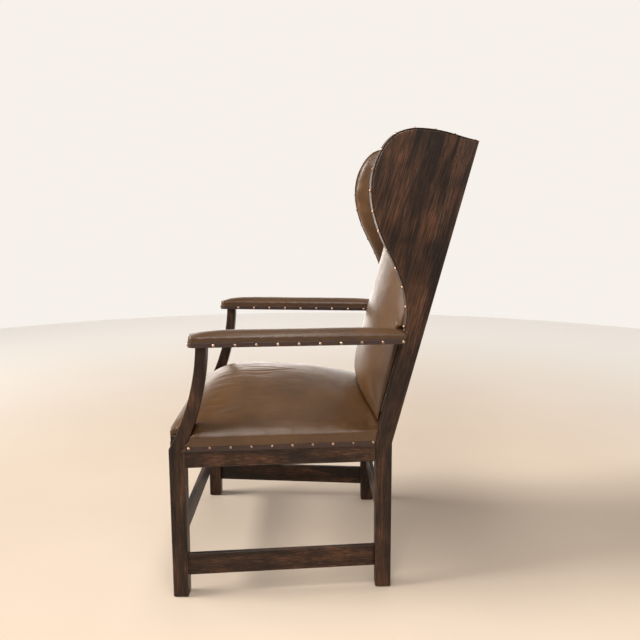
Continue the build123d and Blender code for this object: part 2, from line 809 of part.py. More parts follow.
side_places = [
    (on_side(along, -band_out, seat_nail_height), -side_inwards)
    for along in spread(nail_front_margin, side_length - nail_rear_margin, side_nail_count)
]
front_reach = inner_front - nail_front_margin
front_places = [(at(x, -band_out, seat_nail_height), Vector(0, -1, 0))
                for x in spread(-front_reach, front_reach, front_nail_count)]
side_nails = placed(one_nail, side_places)
seat_nails = side_nails + [mirror(nail, about=Plane.YZ) for nail in side_nails]
seat_nails += placed(one_nail, front_places)
side_holes = placed(nail_hole, side_places)
seat_holes = side_holes + [mirror(hole, about=Plane.YZ) for hole in side_holes]
seat_holes += placed(nail_hole, front_places)
seat_rail = single(seat_rail - side_holes)
front_rail = single(front_rail - placed(nail_hole, front_places))
seat_cover = single(seat_cover - seat_holes)
seat_banding = seat_banding - seat_holes

arm_side = arm_width / 2 + band_out
arm_nail_z = arm_height + arm_nail_rise
arm_places = []
for along in spread(arm_first_nail, arm_length - nail_rear_margin, arm_nail_count):
    arm_places.append((on_arm(along, -arm_side, arm_nail_z), -arm_inwards))
    arm_places.append((on_arm(along, arm_side, arm_nail_z), arm_inwards))
for offset in (-nose_nail_offset, nose_nail_offset):
    arm_places.append((on_arm(-band_out, offset, arm_nail_z), -arm_along))
arm_nails = placed(one_nail, arm_places)
arm_holes = placed(nail_hole, arm_places)
arm_rail = single(arm_rail - arm_holes)
arm_cover = single(arm_cover - arm_holes)
arm_banding = single(arm_banding - arm_holes)

wing_line = wing_edge(band_out + nail_clearance)
wing_run = wing_line.length + stile_depth - wing_last_nail
wing_places = []
for run in spread(wing_first_nail, wing_run, wing_nail_count):
    if run < wing_line.length:
        share = run / wing_line.length
        outwards = (wing_line % share).cross(wing_inwards)
        wing_places.append((wing_line @ share + wing_inwards * wing_nail_inset, outwards))
    else:
        behind = run - wing_line.length
        place = on_back(half_rear - wing_nail_inset, stile_length + band_out, -behind)
        wing_places.append((place, up_rake))
wing_nails = placed(one_nail, wing_places)
wing_holes = placed(nail_hole, wing_places)
wing_board = single(wing_board - wing_holes)
wing_cover = single(wing_cover - wing_holes)
wing_banding = single(wing_banding - wing_holes)

outside_x = inner_stile + rebate_width / 2
outside_low = outside_lift + outside_nail_margin
outside_high = stile_length - outside_nail_margin
outside_spots = []
for up in spread(outside_low, outside_high, outside_nails_up):
    outside_spots += [(-outside_x, up), (outside_x, up)]
for x in spread(-outside_x, outside_x, outside_nails_across)[1:-1]:
    outside_spots += [(x, outside_low), (x, outside_high)]
outside_places = [(on_back(x, up, rebate_floor - leather), -back_plane.z_dir)
                  for x, up in outside_spots]
outside_nails = placed(one_nail, outside_places)
outside_holes = placed(nail_hole, outside_places)
outside_back = single(outside_back - outside_holes)
rear_rail = single(rear_rail - outside_holes)
top_rail = single(top_rail - outside_holes)

# Mortises in the legs, the posts and the stiles
front_leg = single(front_leg - seat_rail_mortise - side_stretcher_mortise
                   - front_rail_mortise - front_stretcher_mortise)
rear_post = single(rear_post - seat_rail_mortise - side_stretcher_mortise - rear_rail_mortise
                   - rear_stretcher_mortise - lower_rail_mortise - top_rail_mortise
                   - arm_tongue(joint_clearance) - dowel_holes - wing_holes - outside_holes)

both_sides("front_leg", front_leg)
both_sides("rear_post", rear_post)
both_sides("seat_rail", seat_rail)
both_sides("stretcher", side_stretcher)
both_sides("arm_rail", arm_rail)
both_sides("arm_stuffing", arm_stuffing)
both_sides("arm_cover", arm_cover)
both_sides("arm_banding", arm_banding)
both_sides("arm_nails", group(arm_nails))
both_sides("wing_board", wing_board)
both_sides("wing_dowels", group(wing_dowels))
both_sides("wing_stuffing", wing_stuffing)
both_sides("wing_cover", wing_cover)
both_sides("wing_banding", wing_banding)
both_sides("wing_nails", group(wing_nails))
pieces["seat_rail_front"] = front_rail
pieces["seat_rail_rear"] = rear_rail
pieces["stretcher_front"] = front_stretcher
pieces["stretcher_rear"] = rear_stretcher
pieces["corner_blocks"] = group(blocks)
pieces["corner_block_screws"] = group(screws)
pieces["seat_webbing"] = group(seat_webbing)
pieces["seat_springs"] = group(seat_springs)
pieces["seat_hessian"] = seat_hessian
pieces["seat_stuffing"] = seat_stuffing
pieces["seat_cover"] = seat_cover
pieces["seat_banding"] = seat_banding
pieces["seat_nails"] = group(seat_nails)
pieces["dust_cover"] = dust_cover
pieces["back_top_rail"] = top_rail
pieces["back_lower_rail"] = lower_rail
pieces["back_webbing"] = group(back_webbing)
pieces["back_hessian"] = back_hessian
pieces["back_stuffing"] = back_stuffing
pieces["back_cover"] = back_cover
pieces["outside_back_cover"] = outside_back
pieces["outside_back_nails"] = group(outside_nails)

os.makedirs("parts", exist_ok=True)
for name, shape in pieces.items():
    export_step(shape, os.path.join("parts", name + ".step"))
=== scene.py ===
"""Looks of the wingback armchair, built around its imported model.

Metres, +Z up, the chair faces -Y, and +X is the left side of the person who
sits in it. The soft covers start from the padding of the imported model.
"""

from math import cos, exp, radians, sin, tan

import bmesh
import bpy
from mathutils import Matrix, Vector, noise
from mathutils.kdtree import KDTree


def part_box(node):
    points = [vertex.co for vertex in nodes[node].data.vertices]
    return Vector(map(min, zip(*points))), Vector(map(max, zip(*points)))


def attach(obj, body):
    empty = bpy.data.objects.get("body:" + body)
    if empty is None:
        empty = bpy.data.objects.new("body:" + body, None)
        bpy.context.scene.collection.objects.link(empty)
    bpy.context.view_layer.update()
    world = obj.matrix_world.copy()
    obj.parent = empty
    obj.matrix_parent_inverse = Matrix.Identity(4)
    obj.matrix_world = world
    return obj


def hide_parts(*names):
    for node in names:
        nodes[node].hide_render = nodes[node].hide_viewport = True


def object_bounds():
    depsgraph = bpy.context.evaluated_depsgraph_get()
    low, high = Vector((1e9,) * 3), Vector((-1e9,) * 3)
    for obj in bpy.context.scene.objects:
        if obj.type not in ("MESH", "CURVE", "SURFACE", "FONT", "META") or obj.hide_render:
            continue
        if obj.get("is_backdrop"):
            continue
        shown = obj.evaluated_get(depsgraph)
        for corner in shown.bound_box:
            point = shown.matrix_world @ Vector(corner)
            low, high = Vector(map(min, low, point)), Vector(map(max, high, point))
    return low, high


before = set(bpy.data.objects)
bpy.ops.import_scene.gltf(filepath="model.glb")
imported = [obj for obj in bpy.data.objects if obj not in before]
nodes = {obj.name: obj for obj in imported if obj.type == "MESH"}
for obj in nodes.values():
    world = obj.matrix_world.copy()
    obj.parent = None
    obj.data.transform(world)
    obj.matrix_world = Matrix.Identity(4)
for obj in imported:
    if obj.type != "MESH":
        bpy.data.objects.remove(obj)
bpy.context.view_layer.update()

# The photo's camera
LENS = 38.81
CAMERA_PLACE = Vector((1.8558, -0.0147, 0.9307))
CAMERA_YAW = radians(-0.57)
CAMERA_PITCH = radians(9.33)

# Sizes of the chair that the covers need
FRONT = -0.35236                  # Y of the front legs' front face
INNER_FRONT = 0.2795              # half the width between the front legs
INNER_STILE = 0.238               # half the width between the stiles
OUTER_STILE = 0.276
STILE_FRONT = FRONT + 0.48518     # Y of the stiles' front face at the knee
KNEE = 0.372
RAKE = radians(14.6)
FLARE = radians(7.0)
STILE_LENGTH = 0.734
STILE_DEPTH = 0.0395
LEATHER = 0.0016
RAIL_TOP = 0.392
OUTER_FRONT = 0.3175              # half the width over the front legs
SEAT_SIDE_START = FRONT + 0.038   # Y of the front legs' back face
SEAT_SIDE_SLOPE = (OUTER_STILE - OUTER_FRONT) / (STILE_FRONT - SEAT_SIDE_START)
LEATHER_OUT = 0.002               # from a covered face to the leather's outside
SEAT_ROLL = 0.006                 # how far the seat's border bulges
SEAT_ROLL_HEIGHT = 0.407
BAND_BOTTOM = 0.367
POST_LEAN = 0.5                   # how far a front post leans back for each unit of height
END_BY_POST = SEAT_SIDE_START + 0.0135
STRIP_VOXEL = 0.00085
CLOTH_STEP = 0.012
ARM_BOTTOM = 0.617
ARM_TOP = 0.637
TOP_RAIL_BACK = -0.0305           # of the stiles' front face, along the pad's depth
BORDER_TOP = 0.4135               # below this the seat's cover is drawn to its border
BORDER_FADE = 0.008
SWELL_HEIGHT = 0.403              # where the seat's border stands out most
SWELL_REACH = 0.025
HEM_HIGH = 0.3865                 # rows of the seat's hem, down over the rails
HEM_LOW = 0.3790
HEM_SLACK = 0.0005
ARM_DRAW = 0.011                  # the back's leather is drawn to an arm from this near
CLOTH_SAG = 0.006
FILL_FRAMES = 20                  # how long the padding is blown up
MERGE = 0.00001                   # vertices nearer than this are one
HEM_MERGE = 0.0004                # the same along an open edge that is carried on
FLOOR_RADIUS = 4.2
FLOOR_NEAR, FLOOR_FAR = 0.9, 3.6  # between these the floor grows paler
DAYLIGHT_HEADING = Vector((-0.2, 3.2, -2.1))
DIM_HEADING = (0.72, -0.75, 0.50)
GLOW_HEADING = (-0.985, -0.158, -0.065)
GLOW_EDGE, GLOW_CORE = 0.955, 0.985   # cosines of the angle from that heading
GLOW_STRENGTH = 4.6
BACKDROP = (0.93, 0.88, 0.83, 1)

UP_RAKE = Vector((0, sin(RAKE), cos(RAKE)))
FORWARD = Vector((0, -cos(RAKE), sin(RAKE)))
BACK_START = Vector((0, STILE_FRONT, KNEE))
WING_FORWARD = FORWARD * cos(FLARE) + Vector((1, 0, 0)) * sin(FLARE)
WING_INWARDS = WING_FORWARD.cross(UP_RAKE)
WING_START = BACK_START + Vector((OUTER_STILE, 0, 0))


# Materials
def new_material(name):
    """A material and a short way to add linked nodes to it."""
    material = bpy.data.materials.new(name)
    material.use_nodes = True
    tree = material.node_tree
    shader = tree.nodes["Principled BSDF"]

    def add(kind, settings=None, **inputs):
        node = tree.nodes.new(kind)
        for key, value in (settings or {}).items():
            setattr(node, key, value)
        for key, value in inputs.items():
            socket = node.inputs[int(key[1:])] if key[1:].isdigit() else node.inputs[key]
            if isinstance(value, bpy.types.NodeSocket):
                tree.links.new(value, socket)
            else:
                socket.default_value = value
        return node

    return material, shader, add, tree.links.new


def ramp(add, value, stops):
    """A colour ramp over a value, from a list of places and colours."""
    node = add("ShaderNodeValToRGB", Fac=value)
    ends = node.color_ramp.elements
    while len(ends) < len(stops):
        ends.new(0.5)
    for stop, (place, colour) in zip(ends, stops):
        stop.position = place
        stop.color = (*colour, 1)
    return node.outputs["Color"]


def mixed(add, share, first, second, blend="MIX"):
    node = add("ShaderNodeMix", {"data_type": "RGBA", "blend_type": blend}, _0=share)
    for socket, value in ((node.inputs[6], first), (node.inputs[7], second)):
        if isinstance(value, bpy.types.NodeSocket):
            node.id_data.links.new(value, socket)
        else:
            socket.default_value = (*value, 1)
    return node.outputs[2]


def worn_and_highlit_arrises(add, soft):
    """1 on the arrises and 0 on flat faces."""
    sharp = add("ShaderNodeNewGeometry")
    alike = add("ShaderNodeVectorMath", {"operation": "DOT_PRODUCT"},
                _0=soft, _1=sharp.outputs["True Normal"])
    return add("ShaderNodeMapRange", Value=alike.outputs["Value"], _1=0.995, _2=0.86,
               _3=0.0, _4=0.8).outputs["Result"]


def stained_wood(name, turn, raked=False):
    """Dark stained, streaky hardwood with its grain along the turned Z axis."""
    material, shader, add, link = new_material(name)
    place = add("ShaderNodeTexCoord").outputs["Object"]
    if raked:
        # above the knee the grain follows the raked stile
        parts = add("ShaderNodeSeparateXYZ", _0=place)
        above = add("ShaderNodeMath", {"operation": "SUBTRACT"}, _0=parts.outputs[2], _1=KNEE)
        above = add("ShaderNodeMath", {"operation": "MAXIMUM"}, _0=above.outputs[0], _1=0.0)
        lean = add("ShaderNodeMath", {"operation": "MULTIPLY"}, _0=above.outputs[0], _1=tan(RAKE))
        y = add("ShaderNodeMath", {"operation": "SUBTRACT"}, _0=parts.outputs[1],
                _1=lean.outputs[0])
        place = add("ShaderNodeCombineXYZ", _0=parts.outputs[0], _1=y.outputs[0],
                    _2=parts.outputs[2]).outputs[0]
    along = add("ShaderNodeMapping", {"vector_type": "TEXTURE"}, Vector=place,
                Rotation=turn, Scale=(1, 1, 26)).outputs[0]
    figure_place = add("ShaderNodeMapping", {"vector_type": "TEXTURE"}, Vector=place,
                       Rotation=turn, Scale=(1, 1, 7)).outputs[0]
    figure = add("ShaderNodeTexNoise", Vector=figure_place, Scale=34.0, Detail=6.0,
                 Roughness=0.60, Distortion=0.5)
    streaks = add("ShaderNodeTexNoise", Vector=along, Scale=430.0, Detail=5.0,
                  Roughness=0.70, Distortion=0.3)
    pores = add("ShaderNodeTexNoise", Vector=along, Scale=900.0, Detail=3.0, Roughness=0.6)
    stain = add("ShaderNodeTexNoise", Vector=place, Scale=9.0, Detail=5.0, Roughness=0.55)
    body = ramp(add, streaks.outputs["Fac"], [
        (0.34, (0.0150, 0.0066, 0.0038)), (0.46, (0.0330, 0.0150, 0.0080)),
        (0.56, (0.0620, 0.0300, 0.0158)), (0.68, (0.0980, 0.0510, 0.0275))])
    warm = ramp(add, figure.outputs["Fac"], [
        (0.41, (0.46, 0.44, 0.43)), (0.51, (0.95, 0.93, 0.92)), (0.61, (1.70, 1.54, 1.38))])
    colour = mixed(add, 1.0, body, warm, "MULTIPLY")
    dark = ramp(add, stain.outputs["Fac"], [(0.40, (0.55, 0.52, 0.52)), (0.58, (1.15, 1.12, 1.10))])
    colour = mixed(add, 1.0, colour, dark, "MULTIPLY")
    open_pores = ramp(add, pores.outputs["Fac"], [(0.38, (0.38, 0.36, 0.35)), (0.47, (1, 1, 1))])
    colour = mixed(add, 0.75, colour, open_pores, "MULTIPLY")
    soft = add("ShaderNodeBevel", {"samples": 6}, Radius=0.0014).outputs["Normal"]
    arris_wear_and_highlight = worn_and_highlit_arrises(add, soft)
    patchy = add("ShaderNodeTexNoise", Vector=place, Scale=34.0, Detail=5.0, Roughness=0.65)
    patchy = add("ShaderNodeMapRange", Value=patchy.outputs["Fac"], _1=0.38, _2=0.60)
    arris_wear_and_highlight = add("ShaderNodeMath", {"operation": "MULTIPLY"}, _0=arris_wear_and_highlight, _1=patchy.outputs[0])
    # The arrises are painted lighter: partly real wear, partly a painted highlight along the
    # rounded edges
    colour = mixed(add, arris_wear_and_highlight.outputs[0], colour, (0.200, 0.128, 0.088))
    link(colour, shader.inputs["Base Color"])
    gloss = add("ShaderNodeMapRange", Value=streaks.outputs["Fac"], _1=0.3, _2=0.75,
                _3=0.38, _4=0.56)
    polished = add("ShaderNodeMix", _0=arris_wear_and_highlight.outputs[0], _2=gloss.outputs[0], _3=0.34)
    link(polished.outputs[0], shader.inputs["Roughness"])
    shader.inputs["Specular IOR Level"].default_value = 0.28
    shader.inputs["Coat Weight"].default_value = 0.06
    shader.inputs["Coat Roughness"].default_value = 0.28
    grain = add("ShaderNodeBump", Strength=0.30, Distance=0.0006, Height=pores.outputs["Fac"],
                Normal=soft)
    waves = add("ShaderNodeBump", Strength=0.18, Distance=0.0010, Height=streaks.outputs["Fac"],
                Normal=grain.outputs["Normal"])
    link(waves.outputs["Normal"], shader.inputs["Normal"])
    return material


def raw_wood(name):
    material, shader, add, link = new_material(name)
    place = add("ShaderNodeTexCoord").outputs["Object"]
    along = add("ShaderNodeMapping", {"vector_type": "TEXTURE"}, Vector=place,
                Scale=(12, 1, 1)).outputs[0]
    streaks = add("ShaderNodeTexNoise", Vector=along, Scale=160.0, Detail=6.0, Roughness=0.6)
    colour = ramp(add, streaks.outputs["Fac"], [
        (0.32, (0.20, 0.115, 0.060)), (0.55, (0.36, 0.225, 0.125)), (0.75, (0.48, 0.33, 0.20))])
    link(colour, shader.inputs["Base Color"])
    shader.inputs["Roughness"].default_value = 0.72
    bump = add("ShaderNodeBump", Strength=0.3, Distance=0.0006, Height=streaks.outputs["Fac"])
    link(bump.outputs["Normal"], shader.inputs["Normal"])
    return material


def hide(name, shades, grain_scale, rough, creases=0.0):
    """Leather: fine cells of grain, soft creases, and colour that varies over the hide."""
    material, shader, add, link = new_material(name)
    place = add("ShaderNodeTexCoord").outputs["Object"]
    dark, middle, light = shades
    clouds = add("ShaderNodeTexNoise", Vector=place, Scale=9.0, Detail=6.0, Roughness=0.55,
                 Distortion=0.4)
    colour = ramp(add, clouds.outputs["Fac"], [(0.30, dark), (0.52, middle), (0.74, light)])
    specks = add("ShaderNodeTexNoise", Vector=place, Scale=420.0, Detail=3.0, Roughness=0.6)
    speckled = ramp(add, specks.outputs["Fac"], [
        (0.34, (0.80, 0.78, 0.76)), (0.60, (1.06, 1.06, 1.06))])
    colour = mixed(add, 0.8, colour, speckled, "MULTIPLY")
    wobble = add("ShaderNodeTexNoise", Vector=place, Scale=60.0, Detail=2.0, Roughness=0.5)
    bent = mixed(add, 0.012, place, wobble.outputs["Color"])
    cells = add("ShaderNodeTexVoronoi", {"feature": "DISTANCE_TO_EDGE"}, Vector=bent,
                Scale=grain_scale, Randomness=1.0)
    pebbles = add("ShaderNodeMapRange", Value=cells.outputs["Distance"], _1=0.0, _2=0.22)
    valleys = ramp(add, cells.outputs["Distance"], [(0.0, (0.62, 0.60, 0.58)), (0.12, (1, 1, 1))])
    colour = mixed(add, 0.45, colour, valleys, "MULTIPLY")
    link(colour, shader.inputs["Base Color"])
    rub = add("ShaderNodeTexNoise", Vector=place, Scale=16.0, Detail=5.0, Roughness=0.6)
    gloss = add("ShaderNodeMapRange", Value=rub.outputs["Fac"], _1=0.3, _2=0.7, _3=rough,
                _4=rough + 0.14)
    link(gloss.outputs[0], shader.inputs["Roughness"])
    shader.inputs["Specular IOR Level"].default_value = 0.45
    shader.inputs["Coat Weight"].default_value = 0.14
    shader.inputs["Coat Roughness"].default_value = 0.20
    fine = add("ShaderNodeBump", Strength=0.22, Distance=0.0004, Height=pebbles.outputs[0])
    soft_creases = add("ShaderNodeTexNoise", Vector=place, Scale=38.0, Detail=5.0, Roughness=0.55,
                       Distortion=0.8)
    folds = add("ShaderNodeBump", Strength=0.16, Distance=0.004, Height=soft_creases.outputs["Fac"],
                Normal=fine.outputs["Normal"])
    last = folds
    if creases:
        long_place = add("ShaderNodeMapping", {"vector_type": "TEXTURE"}, Vector=place,
                         Scale=(1, 5, 1)).outputs[0]
        sat_on = add("ShaderNodeTexNoise", Vector=long_place, Scale=85.0, Detail=4.0,
                     Roughness=0.6, Distortion=1.2)
        last = add("ShaderNodeBump", Strength=creases, Distance=0.003,
                   Height=sat_on.outputs["Fac"], Normal=folds.outputs["Normal"])
    link(last.outputs["Normal"], shader.inputs["Normal"])
    return material


def aged_metal(name, bright, dull, roughness):
    material, shader, add, link = new_material(name)
    place = add("ShaderNodeTexCoord").outputs["Object"]
    tarnish = add("ShaderNodeTexNoise", Vector=place, Scale=900.0, Detail=4.0, Roughness=0.6)
    each = add("ShaderNodeTexNoise", Vector=place, Scale=26.0, Detail=2.0, Roughness=0.5)
    both = add("ShaderNodeMath", {"operation": "MULTIPLY"}, _0=tarnish.outputs["Fac"],
               _1=each.outputs["Fac"])
    colour = ramp(add, both.outputs[0], [(0.14, dull), (0.34, bright)])
    link(colour, shader.inputs["Base Color"])
    shader.inputs["Metallic"].default_value = 1.0
    gloss = add("ShaderNodeMapRange", Value=tarnish.outputs["Fac"], _1=0.3, _2=0.7,
                _3=roughness - 0.06, _4=roughness + 0.12)
    link(gloss.outputs[0], shader.inputs["Roughness"])
    bump = add("ShaderNodeBump", Strength=0.25, Distance=0.0003, Height=tarnish.outputs["Fac"])
    link(bump.outputs["Normal"], shader.inputs["Normal"])
    return material


def woven(name, thread, dark, light):
    """A plain weave, with a thread's width in metres."""
    material, shader, add, link = new_material(name)
    place = add("ShaderNodeTexCoord").outputs["Object"]
    waves = []
    for direction in ("X", "Y"):
        wave = add("ShaderNodeTexWave", {"wave_type": "BANDS", "bands_direction": direction},
                   Vector=place, Scale=0.314 / thread, Distortion=0.6, Detail=2.0)
        waves.append(wave.outputs["Fac"])
    threads = add("ShaderNodeMath", {"operation": "MAXIMUM"}, _0=waves[0], _1=waves[1])
    slubs = add("ShaderNodeTexNoise", Vector=place, Scale=55.0, Detail=5.0, Roughness=0.6)
    colour = ramp(add, threads.outputs[0], [(0.25, dark), (0.85, light)])
    shade = ramp(add, slubs.outputs["Fac"], [(0.35, (0.72, 0.70, 0.66)), (0.65, (1.1, 1.1, 1.1))])
    colour = mixed(add, 1.0, colour, shade, "MULTIPLY")
    link(colour, shader.inputs["Base Color"])
    shader.inputs["Roughness"].default_value = 0.9
    shader.inputs["Sheen Weight"].default_value = 0.2
    bump = add("ShaderNodeBump", Strength=0.5, Distance=0.0006, Height=threads.outputs[0])
    link(bump.outputs["Normal"], shader.inputs["Normal"])
    return material


QUARTER = radians(90)
upright_wood = stained_wood("upright_stained_wood", (0, 0, 0))
raked_wood = stained_wood("raked_stained_wood", (0, 0, 0), raked=True)
long_wood = stained_wood("fore_and_aft_stained_wood", (-QUARTER, 0, 0))
cross_wood = stained_wood("crosswise_stained_wood", (0, QUARTER, 0))
block_wood = raw_wood("raw_block_wood")
HIDE_SHADES = [(0.076, 0.034, 0.0110), (0.106, 0.049, 0.0160), (0.140, 0.068, 0.024)]
# The arms' leather is the same hide painted darker: painted shade for the arms being less lit
ARM_PAINTED_SHADE_TONES = [(0.060, 0.0265, 0.0090), (0.084, 0.0385, 0.0130), (0.112, 0.0540, 0.0195)]
STRIP_SHADES = [(0.032, 0.0138, 0.0100), (0.046, 0.0205, 0.0145), (0.062, 0.029, 0.021)]
brown_leather = hide("brown_leather", HIDE_SHADES, 850.0, 0.28)
# painted shade: the arms get the darkened copy of the hide
arm_hide_painted_shade = hide("arm_leather_painted_shade", ARM_PAINTED_SHADE_TONES, 850.0, 0.30)
seat_hide = hide("seat_leather_finish", HIDE_SHADES, 850.0, 0.28, creases=0.12)
strip_leather = hide("strip_leather", STRIP_SHADES, 1100.0, 0.40)
nail_metal = aged_metal("antique_nail_metal", (0.62, 0.42, 0.305), (0.27, 0.170, 0.118), 0.32)
steel = aged_metal("plain_steel", (0.50, 0.50, 0.49), (0.30, 0.29, 0.28), 0.38)
hessian = woven("hessian_weave", 0.0016, (0.16, 0.11, 0.06), (0.36, 0.27, 0.16))
black_cloth = woven("dust_cloth_weave", 0.0008, (0.010, 0.010, 0.011), (0.035, 0.034, 0.034))
jute = woven("jute_strap_weave", 0.0022, (0.20, 0.15, 0.08), (0.44, 0.35, 0.22))

finishes = {
    "front_leg": upright_wood, "rear_post": raked_wood, "wing_board": raked_wood,
    "seat_rail_left": long_wood, "seat_rail_right": long_wood, "seat_rail": cross_wood,
    "stretcher_left": long_wood, "stretcher_right": long_wood, "stretcher": cross_wood,
    "arm_rail": long_wood, "back_top_rail": cross_wood, "back_lower_rail": cross_wood,
    "corner_blocks": block_wood, "wing_dowels": block_wood, "corner_block_screws": steel,
    "seat_springs": steel, "seat_webbing": jute, "back_webbing": jute,
    "seat_hessian": hessian, "back_hessian": hessian,
}


def dress(piece, material):
    piece.data.materials.clear()
    piece.data.materials.append(material)


for node_name, node in nodes.items():
    if "nails" in node_name:
        dress(node, nail_metal)
    elif "banding" in node_name:
        dress(node, strip_leather)
    elif node_name in finishes:
        dress(node, finishes[node_name])
    else:
        stem = next((key for key in finishes if node_name.startswith(key)), None)
        dress(node, finishes[stem] if stem else brown_leather)


# Soft covers: each starts as an evenly meshed copy of the padding under it
def clamped(value):
    """The value, kept between 0 and 1."""
    return min(max(value, 0), 1)


def add_piece(name, mesh):
    piece = bpy.data.objects.new(name, mesh)
    bpy.context.scene.collection.objects.link(piece)
    return piece


def new_mesh(name, bm):
    mesh = bpy.data.meshes.new(name)
    bm.to_mesh(mesh)
    bm.free()
    return mesh


def settled(piece):
    """Applies a piece's modifiers to its mesh."""
    graph = bpy.context.evaluated_depsgraph_get()
    made = bpy.data.meshes.new_from_object(piece.evaluated_get(graph))
    piece.modifiers.clear()
    piece.data = made


def padding_copy(name, sources, voxel):
    bm = bmesh.new()
    for source in sources:
        bm.from_mesh(nodes[source].data)
    bmesh.ops.remove_doubles(bm, verts=bm.verts, dist=MERGE)
    piece = add_piece(name, new_mesh(name, bm))
    even = piece.modifiers.new("even_faces", "REMESH")
    even.mode = "VOXEL"
    even.voxel_size = voxel
    settled(piece)
    return piece


def moved_vertices(piece, shift):
    """Moves each vertex by what a function gives for its place and normal."""
    bm = bmesh.new()
    bm.from_mesh(piece.data)
    bm.normal_update()
    shifts = [shift(v.co.copy(), v.normal.copy()) for v in bm.verts]
    for v, step in zip(bm.verts, shifts):
        v.co += step
    bm.to_mesh(piece.data)
    bm.free()


def smoothed(bm, verts, times):
    for _ in range(times):
        bmesh.ops.smooth_vert(bm, verts=verts, factor=0.5, use_axis_x=True, use_axis_y=True,
                              use_axis_z=True)


def filled(piece, hold, pressure, cap, smoothing):
    """Blows the padding up against its leather with a cloth simulation."""
    group = piece.vertex_groups.new(name="held")
    rest = [v.co.copy() for v in piece.data.vertices]
    for index, place in enumerate(rest):
        weight = hold(place)
        if weight > 0:
            group.add([index], weight, "REPLACE")
    cloth = piece.modifiers.new("fill", "CLOTH")
    cloth.settings.quality = 5
    cloth.settings.mass = 0.25
    cloth.settings.tension_stiffness = 25
    cloth.settings.compression_stiffness = 25
    cloth.settings.shear_stiffness = 12
    cloth.settings.bending_stiffness = 1.5
    cloth.settings.use_pressure = True
    cloth.settings.uniform_pressure_force = pressure
    cloth.settings.vertex_group_mass = "held"
    cloth.settings.effector_weights.gravity = 0
    cloth.point_cache.frame_start = 1
    cloth.point_cache.frame_end = FILL_FRAMES
    for step in range(1, FILL_FRAMES + 1):
        bpy.context.scene.frame_set(step)
    graph = bpy.context.evaluated_depsgraph_get()
    made = piece.evaluated_get(graph).to_mesh()
    places = [v.co.copy() for v in made.vertices]
    piece.modifiers.clear()
    for v, start, end in zip(piece.data.vertices, rest, places):
        step = end - start
        if step.length > cap:
            step = step.normalized() * cap
        v.co = start + step
    piece.vertex_groups.clear()
    bpy.context.scene.frame_set(1)
    bm = bmesh.new()
    bm.from_mesh(piece.data)
    free = [v for v in bm.verts if hold(rest[v.index]) < 0.5]
    smoothed(bm, free, smoothing)
    bm.to_mesh(piece.data)
    bm.free()


def rounded(piece):
    smooth = piece.modifiers.new("fine", "SUBSURF")
    smooth.levels = 1
    smooth.render_levels = 1
    settled(piece)


def opened(piece, drop, cuts=()):
    """Takes away the hidden faces of a cover, and cuts it along planes."""
    bm = bmesh.new()
    bm.from_mesh(piece.data)
    for place, outwards in cuts:
        everything = bm.verts[:] + bm.edges[:] + bm.faces[:]
        bmesh.ops.bisect_plane(bm, geom=everything, plane_co=place, plane_no=outwards,
                               clear_outer=True, dist=MERGE)
    bm.normal_update()
    hidden = [f for f in bm.faces if drop(f.calc_center_median(), f.normal)]
    bmesh.ops.delete(bm, geom=hidden, context="FACES")
    loose = [v for v in bm.verts if not v.link_faces]
    bmesh.ops.delete(bm, geom=loose, context="VERTS")
    return bm


def hemmed(bm, chosen, target, start=None):
    """Carries a cover's open edge on, from the chosen vertices to where a function says."""
    def open_edges():
        return [e for e in bm.edges if e.is_boundary and all(chosen(v.co) for v in e.verts)]

    if start:
        places = {v: start(v.co.copy()) for e in open_edges() for v in e.verts}
        for v, place in places.items():
            v.co = place
        bmesh.ops.remove_doubles(bm, verts=list(places), dist=HEM_MERGE)
    made = bmesh.ops.extrude_edge_only(bm, edges=open_edges())
    for v in made["geom"]:
        if isinstance(v, bmesh.types.BMVert):
            v.co = target(v.co.copy())
    bmesh.ops.recalc_face_normals(bm, faces=bm.faces)


def shaded_smooth(piece):
    for face in piece.data.polygons:
        face.use_smooth = True


def skinned(piece, thickness=LEATHER):
    skin = piece.modifiers.new("thickness", "SOLIDIFY")
    skin.thickness = thickness
    skin.offset = -1
    settled(piece)
    shaded_smooth(piece)


def finished(piece, material, slot, *stands_for, fill=0.8):
    dress(piece, material)
    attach(piece, "root")
    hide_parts(*stands_for)


def other_side(piece, name):
    """The mirror image of a left piece."""
    bm = bmesh.new()
    bm.from_mesh(piece.data)
    bmesh.ops.scale(bm, vec=(-1, 1, 1), verts=bm.verts)
    bmesh.ops.reverse_faces(bm, faces=bm.faces)
    made = add_piece(name, new_mesh(name, bm))
    shaded_smooth(made)
    return made


def in_back(place):
    """Across, up along the rake and forwards from the stiles' front."""
    away = place - BACK_START
    return away.x, away.dot(UP_RAKE), away.dot(FORWARD)


def in_wing(place):
    """Forwards, up and inwards from the outer face of the left wing."""
    away = place - WING_START
    return away.dot(WING_FORWARD), away.dot(UP_RAKE), away.dot(WING_INWARDS)


def nail_places(name):
    """The middle of each nail in a node."""
    bm = bmesh.new()
    bm.from_mesh(nodes[name].data)
    bmesh.ops.remove_doubles(bm, verts=bm.verts, dist=MERGE)
    places, seen = [], set()
    for first in bm.verts:
        if first in seen:
            continue
        nail, front = [], [first]
        seen.add(first)
        while front:
            v = front.pop()
            nail.append(v.co)
            for other in (edge.other_vert(v) for edge in v.link_edges):
                if other not in seen:
                    seen.add(other)
                    front.append(other)
        places.append(sum((co.copy() for co in nail), Vector()) / len(nail))
    bm.free()
    return places


def dimpled(piece, nails, depth, reach):
    """Presses a piece in round its nails."""
    places = nail_places(nails)
    tree = KDTree(len(places))
    for index, place in enumerate(places):
        tree.insert(place, index)
    tree.balance()
    moved_vertices(piece, lambda p, n: n * (-depth * max(1 - tree.find(p)[2] / reach, 0) ** 2))


